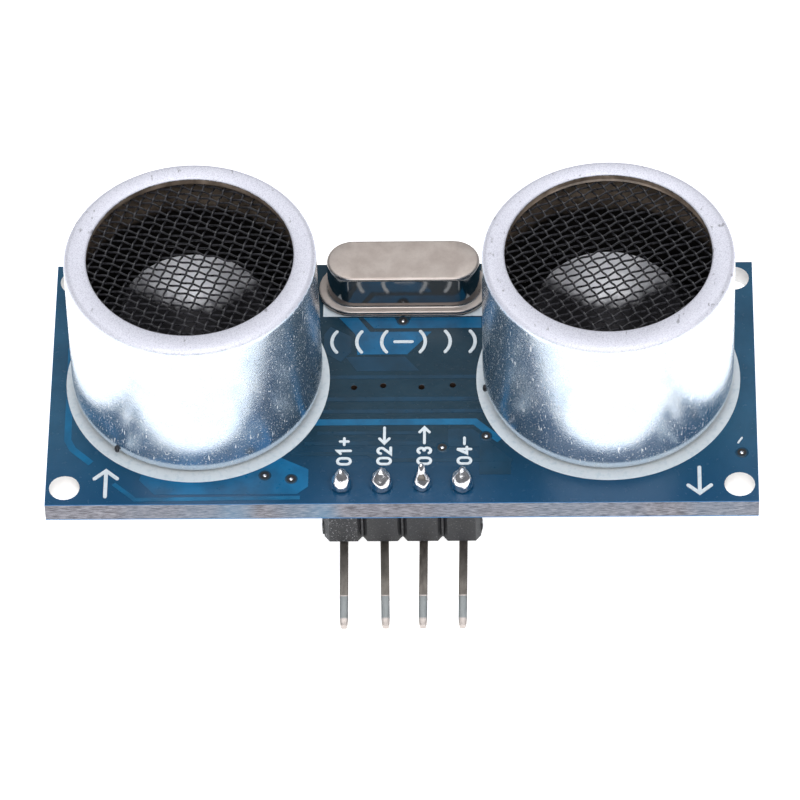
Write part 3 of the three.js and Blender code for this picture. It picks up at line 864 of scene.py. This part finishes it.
def crystal():
    """The pressed cap with its flange, and the base under it."""
    low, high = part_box("crystal_cap")
    base_low, base_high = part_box("crystal_base")
    centre = middle("crystal_cap")
    flange = (high.x - low.x - 0.1 * MM, high.y - low.y)
    cap = (9.85 * MM, 3.4 * MM)
    edge = 0.2
    flange_levels = [(inset, low.z + rise * MM) for inset, rise in FLANGE_STEPS]
    cap_levels = [(inset, low.z + rise * MM) for inset, rise in CAP_STEPS]
    cap_levels.append((0.0, high.z - (edge + 0.1) * MM))
    cap_levels += [(edge * (1 - math.cos(a)), high.z - edge * MM * (1 - math.sin(a))) for a in QUARTER_TURN]
    cap_levels.append((0.9, high.z))
    base_levels = [(0.1, base_low.z), (0.02, base_low.z + 0.06 * MM), (0.02, base_high.z - 0.05 * MM),
                   (0.12, base_high.z)]
    build, base = Build(), Build()
    build.rings(stadium_rings(centre, flange, flange_levels) + stadium_rings(centre, cap, cap_levels))
    build.piece("crystal_can", "nickel", "crystal_nickel", replaces=("crystal_cap",))
    base.rings(stadium_rings(centre, flange, base_levels))
    base.piece("crystal_foot", "nickel", "crystal_nickel", replaces=("crystal_base",))


# ---- pin header

HEADER_PINS = 4
# The strip was broken off a longer one: each end lies a little inside the CAD box, and is rough.
END_TRIM = 0.13 * MM


def header_body():
    """Four blocks with grooves and thin ribs between them, and a broken stub at each end."""
    low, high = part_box("header_body")
    pitch = (high.x - low.x) / HEADER_PINS
    groove, deep = 0.33 * MM, 0.45 * MM
    bevel, overlap = 0.05 * MM, 0.02 * MM
    build = Build()
    for i in range(HEADER_PINS):
        left = low.x + pitch * i + (END_TRIM if i == 0 else 0)
        right = low.x + pitch * (i + 1) - (END_TRIM if i == HEADER_PINS - 1 else 0)
        outline = [(left, low.y + deep), (left + groove, low.y), (right - groove, low.y),
                   (right, low.y + deep), (right, high.y - deep), (right - groove, high.y),
                   (left + groove, high.y), (left, high.y - deep)]
        centre = Vector(((left + right) / 2, (low.y + high.y) / 2))
        rings = []
        for inset, z in ((bevel, low.z), (0, low.z + bevel), (0, high.z - bevel), (bevel, high.z)):
            shrunk = [centre + (Vector(p) - centre) * (1 - inset / (pitch / 2)) for p in outline]
            rings.append([Vector((p.x + math.copysign(overlap, p.x - centre.x), p.y, z)) for p in shrunk])
        build.rings(rings)
    for i in range(1, HEADER_PINS):
        x = low.x + pitch * i
        build.box((x - 0.07 * MM, low.y + deep * 0.35, low.z + 0.3 * MM),
                  (x + 0.07 * MM, high.y - deep * 0.35, high.z - 0.01 * MM), 0.02 * MM)
    for x, way in ((low.x + END_TRIM, -1), (high.x - END_TRIM, 1)):
        broken = Build()
        reach = 0.16 * MM
        broken.box((x - reach, low.y + deep, low.z + 0.25 * MM),
                   (x + reach, high.y - deep, high.z - 0.1 * MM))
        work = bmesh.new()
        made = [work.verts.new(v) for v in broken.verts]
        for face in broken.faces:
            work.faces.new([made[i] for i in face])
        bmesh.ops.subdivide_edges(work, edges=work.edges[:], cuts=7, use_grid_fill=True)
        draw = random.Random(5 + way)
        for vert in work.verts:
            if (vert.co.x - x) * way > 0.5 * reach:
                vert.co.x -= way * draw.uniform(0, 0.9) * reach
        build.take(work)
    build.piece("header_moulding", "header", "header_plastic", replaces=("header_body",), smooth=False)


# Each pin was bent by hand: how far it leans in X at its bend and at its tip, in mm.
PIN_LEAN = [(0.05, 0.15), (0.08, 0.24), (0.04, 0.04), (0.03, 0.0)]


def header_pin(index):
    """A square wire bent once, with a chamfered tip, swept along its path in the YZ plane."""
    node = f"header_pin_{index}"
    low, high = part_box(node)
    width = high.x - low.x
    half = width / 2
    slim = 0.9
    x = (low.x + high.x) / 2
    start, end = PIN_LEAN[index - 1]
    axis_y = high.y - half
    leg_z = low.z + half
    radius = 0.45 * MM
    path = [((axis_y, high.z), 0.55), ((axis_y, high.z - 0.3 * MM), 1.0), ((axis_y, leg_z + radius), 1.0)]
    for angle in QUARTER_TURN[1:]:
        y, z = axis_y - radius + radius * math.cos(angle), leg_z + radius - radius * math.sin(angle)
        path.append(((y, z), 1.0))
    for step, size in ((0.06, 1.0), (0.03, 1.04), (-0.03, 1.04), (-0.06, 0.98)):
        path.append(((NICK_Y + step * MM, leg_z), size))
    path += [((low.y + 0.42 * MM, leg_z), 0.98), ((low.y + 0.06 * MM, leg_z), 0.72), ((low.y, leg_z), 0.6)]
    round_off = 0.06 * MM
    section = []
    for sx, sz in ((1, 1), (-1, 1), (-1, -1), (1, -1)):
        corner = Vector((sx * half, sz * half))
        pull_x, pull_z = Vector((-sx * round_off, 0)), Vector((0, -sz * round_off))
        rounded = [corner + pull_z, corner + (pull_x + pull_z) * 0.3, corner + pull_x]
        section += rounded if sx == sz else rounded[::-1]
    rings = []
    for i, ((y, z), size) in enumerate(path):
        before = Vector(path[max(i - 1, 0)][0])
        after = Vector(path[min(i + 1, len(path) - 1)][0])
        ahead = (after - before).normalized()
        normal = Vector((-ahead.y, ahead.x))
        along = min(max((axis_y - y) / (axis_y - low.y), 0), 1)
        lean = (start + (end - start) * along) * MM * min(1, max(0, (FRONT - z) / (3 * MM)))
        size *= slim
        rings.append([Vector((x + lean + p.x * size, y + normal.x * p.y * size, z + normal.y * p.y * size))
                      for p in section])
    build = Build()
    build.rings(rings)
    build.piece(f"square_pin_{index}", "pin", "pin_tin", replaces=(node,))


# ---- parts on the back

LEG_PITCH = 1.27 * MM
CHIP_DOT = [(0.001, -0.012), (0.36, -0.012), (0.42, 0.03), (0.001, 0.03)]


def moulded_body(centre, half_x, half_y, levels):
    """A rectangular epoxy block; each level is an inset in mm and a height."""
    rings = []
    for inset, z in levels:
        reach_x, reach_y = half_x - inset * MM, half_y - inset * MM
        rings.append([Vector((centre.x + sx * reach_x, centre.y + sy * reach_y, z)) for sx, sy in CORNERS])
    body = Build()
    body.rings(rings)
    return body


def flat_leg(build, x, y, side, path, half_width, half_thick, pad):
    """A flat leg along a path of [mm out from x, height], and the solder pad that its foot stands on."""
    build.rings([[Vector((x + side * out * MM, y + w * half_width * MM, z + t * half_thick * MM))
                  for w, t in CORNERS] for out, z in path])
    out, half_x, half_y, rise = [number * MM for number in pad]
    build.box((x + side * out - half_x, y - half_y, BACK - rise), (x + side * out + half_x, y + half_y, BACK),
              0.02 * MM)


def chip(node, count):
    """A small-outline chip with `count` legs and a dot by the first."""
    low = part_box(node)[0]
    centre = middle(node)
    half_length = (count / 2 * LEG_PITCH - 0.24 * MM) / 2
    top = low.z + 1.35 * MM
    waist = (top + low.z) / 2
    body = moulded_body(centre, 1.95 * MM, half_length, (
        (0.12, low.z), (0.06, low.z + 0.05 * MM), (0.0, waist), (0.0, waist + 0.02 * MM), (0.1, top)))
    body.turned((centre.x - 1.3 * MM, centre.y + half_length - 0.75 * MM), lifted(CHIP_DOT, low.z), 24)
    body.piece(node + "_body", "chip", "chip_epoxy", replaces=(node,), smooth=False)
    legs = Build()
    path = [(1.85, waist), (2.2, waist), (2.32, waist + 0.06 * MM), (2.5, BACK - 0.22 * MM),
            (2.62, BACK - 0.12 * MM), (2.98, BACK - 0.12 * MM)]
    per_side = count // 2
    for side in (-1, 1):
        for i in range(per_side):
            y = centre.y + (i - (per_side - 1) / 2) * LEG_PITCH
            flat_leg(legs, centre.x, y, side, path, 0.21, 0.1, (2.8, 0.32, 0.28, 0.06))
    legs.piece(node + "_legs", "wire", "tinned_wire")


def passive(node, material, slot):
    """A chip resistor or capacitor with its two tinned ends and their fillets."""
    low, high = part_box(node)
    cap = 0.3 * MM
    body = Build()
    body.box((low.x + 0.02 * MM, low.y + cap * 0.8, low.z + 0.02 * MM),
             (high.x - 0.02 * MM, high.y - cap * 0.8, high.z - 0.02 * MM), 0.03 * MM)
    body.piece(node + "_body", material, slot, replaces=(node,))
    ends = Build()
    for start, end in ((low.y, low.y + cap), (high.y - cap, high.y)):
        ends.box((low.x, start, low.z), (high.x, end, high.z), 0.05 * MM, 3)
    for start, end in ((low.y - 0.3 * MM, low.y + 0.06 * MM), (high.y - 0.06 * MM, high.y + 0.3 * MM)):
        ends.box((low.x - 0.05 * MM, start, BACK - 0.16 * MM), (high.x + 0.05 * MM, end, BACK), 0.07 * MM, 3)
    ends.piece(node + "_ends", "solder", "solder")


def transistor():
    """A small transistor: two legs on one side and one on the other."""
    node = "regulator_transistor"
    low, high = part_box(node)
    centre = middle(node)
    waist = (low.z + high.z) / 2
    body = moulded_body(centre, 0.65 * MM, 1.45 * MM, (
        (0.1, low.z), (0.04, low.z + 0.04 * MM), (0.0, waist), (0.08, high.z)))
    body.piece(node + "_body", "chip", "chip_epoxy", replaces=(node,), smooth=False)
    legs = Build()
    path = [(0.6, waist), (0.82, waist), (0.9, waist + 0.06 * MM), (0.98, BACK - 0.15 * MM),
            (1.04, BACK - 0.07 * MM), (1.2, BACK - 0.07 * MM)]
    for side, y in ((-1, -0.95), (-1, 0.95), (1, 0.0)):
        flat_leg(legs, centre.x, centre.y + y * MM, side, path, 0.2, 0.05, (1.1, 0.4, 0.35, 0.05))
    legs.piece(node + "_legs", "wire", "tinned_wire")


# Tracks on the back, in mm: each runs from one pad to another, between rows of chip legs where it can.
BACK_TRACES = [
    [(-4.8, 4.71), (-2.8, 4.71)], [(-4.8, 2.17), (-2.8, 2.17)], [(-4.8, -0.37), (-2.8, -0.37)],
    [(-4.8, -1.64), (-2.8, -1.64)], [(2.8, 4.71), (3.6, 4.71), (4.1, 5.34), (4.8, 5.34)],
    [(2.8, 0.9), (3.6, 0.9), (3.9, 1.53), (4.8, 1.53)],
    [(2.8, -1.64), (3.6, -1.64), (4.0, -2.28), (4.8, -2.28)],
    [(-2.44, 7.6), (-3.6, 6.6), (-4.8, 6.0), (-4.8, 4.71)],
    [(2.44, 7.6), (1.2, 6.4), (-2.2, 6.0), (-2.8, 4.71)],
    [(-13.1, 5.2), (-11.6, 4.71), (-10.4, 4.71)], [(-13.1, -4.8), (-11.6, -2.91), (-10.4, -2.91)],
    [(13.1, 5.2), (11.8, 5.34), (10.4, 5.34)], [(13.1, -4.8), (11.9, -3.55), (10.4, -3.55)],
    [(-10.4, -4.75), (-10.4, -2.91)], [(-7.9, -4.75), (-7.2, -4.0), (-7.2, 4.6), (-4.8, 3.44)],
    [(5.4, -4.75), (4.8, -3.55)], [(7.9, -4.75), (7.6, -4.3), (7.6, 5.2)], [(10.4, -4.75), (10.4, -3.55)],
    [(-17.0, 4.3), (-17.0, 7.6), (-9.0, 8.6), (-7.6, 8.6)],
    [(-17.0, -2.5), (-17.0, -7.4), (-11.0, -7.4), (-10.4, -6.6)], [(16.9, 1.8), (17.0, 3.7)],
    [(16.9, -0.5), (17.0, -2.5)], [(7.6, 8.6), (15.8, 8.6), (17.0, 7.4), (17.0, 5.5)],
    [(-20.9, 6.0), (-20.9, -6.4)], [(20.9, 6.0), (20.9, -6.4)],
]


def back_face():
    """Tracks and white outlines on the back."""
    tracks, marks = Build(), Build()
    for i, points in enumerate(BACK_TRACES):
        lift = (0.022 + 0.0006 * i) * MM
        tracks.ribbon(scaled(points), 0.32 * MM, BACK - lift, BACK + lift)
    tracks.piece("back_tracks", "mask_trace", "board_mask")
    ink = (BACK - 0.04 * MM, BACK + 0.01 * MM)
    outlined = [(name, 2.15 * MM, 0.25 * MM) for name in ("mcu_chip", "amplifier_chip", "driver_chip")]
    for name in [f"{kind}_{i}" for kind in ("resistor", "capacitor") for i in range(1, 7)]:
        low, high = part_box(name)
        outlined.append((name, (high.x - low.x) / 2 + 0.26 * MM, 0.52 * MM))
    for name, half_x, gap in outlined:
        low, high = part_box(name)
        x, y, _ = middle(name)
        half_y = (high.y - low.y) / 2 + gap
        marks.ribbon([(x + sx * half_x, y + sy * half_y) for sx, sy in CORNERS], 0.14 * MM, *ink, close=True)
    for kind in ("tx", "rx"):
        x, y, _ = middle(kind + "_can")
        for side in (-1, 1):
            bar_y = y + side * 3.4 * MM
            marks.ribbon([(x - 0.8 * MM, bar_y), (x + 0.8 * MM, bar_y)], 0.16 * MM, *ink)
    marks.piece("back_print", "print", "board_mask")


# ---- build every piece

circuit_board()
copper()
white_print()
back_face()
transistor()
for kind, crease_spot_angle in (("tx", 232.0), ("rx", 190.5)):
    can(kind)
    add_crease_dark_spot(kind, crease_spot_angle)
    woven_screen(kind)
    horn(kind)
    for letter in "ab":
        back_solder(f"{kind}_solder_{letter}", 5 + ord(letter))
for letter in "ab":
    back_solder(f"crystal_solder_{letter}", 20 + ord(letter))
crystal()
header_body()
for number in range(1, 5):
    header_pin(number)
    pin_solder(number)
for chip_name, leg_count in (("mcu_chip", 14), ("amplifier_chip", 14), ("driver_chip", 16)):
    chip(chip_name, leg_count)
for number in range(1, 7):
    passive(f"resistor_{number}", "resistor", "resistor_film")
    passive(f"capacitor_{number}", "capacitor", "capacitor_ceramic")

# The parts inside the cans and the crystal keep their CAD shapes: the end of the node's name, and its look.
CAD_LOOKS = {
    "_plate": "plate", "_piezo_disc": "ceramic", "_cushion_ring": "silicone", "_base": "base",
    "_wire": "copper", "_lead_a": "wire", "_lead_b": "wire", "crystal_blank": "quartz",
}
for node_name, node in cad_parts.items():
    for ending, look in CAD_LOOKS.items():
        if node_name.endswith(ending) and not node.hide_render:
            node.data.materials.clear()
            node.data.materials.append(MATERIALS[look])


# ---- stage, light and camera

FLOOR_Z = cad_box[0][2] - 0.05 * MM


def floor():
    """Bright paper just under the part."""
    mesh = bpy.data.meshes.new("floor")
    reach = 3.0
    mesh.from_pydata([(sx * reach, sy * reach, FLOOR_Z) for sx, sy in CORNERS], [], [[0, 1, 2, 3]])
    made = bpy.data.objects.new("floor", mesh)
    bpy.context.scene.collection.objects.link(made)
    paper = Surface("floor_paper", 0.0, Roughness=0.9, Emission_Color=(1, 1, 1, 1), Emission_Strength=0.85)
    paper.colour(paper.ramp(paper.noise(60), (0.86, 0.86, 0.86, 1), (0.88, 0.88, 0.88, 1)))
    mesh.materials.append(paper.material)


def area_light(name, place, size, watts):
    """An oval light that faces the origin."""
    data = bpy.data.lights.new(name, "AREA")
    data.shape = "ELLIPSE"
    data.size, data.size_y = size
    data.energy = watts
    made = bpy.data.objects.new(name, data)
    made.location = place
    made.rotation_euler = (-Vector(place)).to_track_quat("-Z", "Y").to_euler()
    bpy.context.scene.collection.objects.link(made)


def studio():
    world = bpy.data.worlds.new("studio")
    world.use_nodes = True
    background = world.node_tree.nodes["Background"]
    background.inputs["Color"].default_value = (0.93, 0.95, 1.0, 1)
    background.inputs["Strength"].default_value = 0.2
    bpy.context.scene.world = world
    area_light("front", (0.02, -0.3, 0.42), (0.9, 0.36), 2.3)
    area_light("overhead", (0.0, 0.16, 0.5), (0.3, 0.3), 0.85)
    bpy.context.scene.view_settings.view_transform = "Standard"


def camera():
    """The camera fitted to the photo: it looks from the pin side, with a long lens."""
    azimuth, elevation, roll = 0.0370, 0.8720, -0.0346
    distance, right_shift, up_shift = 425.54 * MM, -0.231 * MM, -1.159 * MM
    back = Vector((math.sin(azimuth) * math.cos(elevation), -math.cos(azimuth) * math.cos(elevation),
                   math.sin(elevation)))
    level_right = Vector((math.cos(azimuth), math.sin(azimuth), 0))
    level_up = back.cross(level_right)
    right = math.cos(roll) * level_right + math.sin(roll) * level_up
    up = -math.sin(roll) * level_right + math.cos(roll) * level_up
    place = back * distance + level_right * right_shift + level_up * up_shift
    data = bpy.data.cameras.new("camera")
    data.sensor_width = 36.0
    data.lens = 299.79
    data.clip_start = 0.01
    made = bpy.data.objects.new("camera", data)
    axes = Matrix((right, up, back)).transposed().to_4x4()
    made.matrix_world = Matrix.Translation(place) @ axes
    bpy.context.scene.collection.objects.link(made)
    bpy.context.scene.camera = made


floor()
studio()
camera()
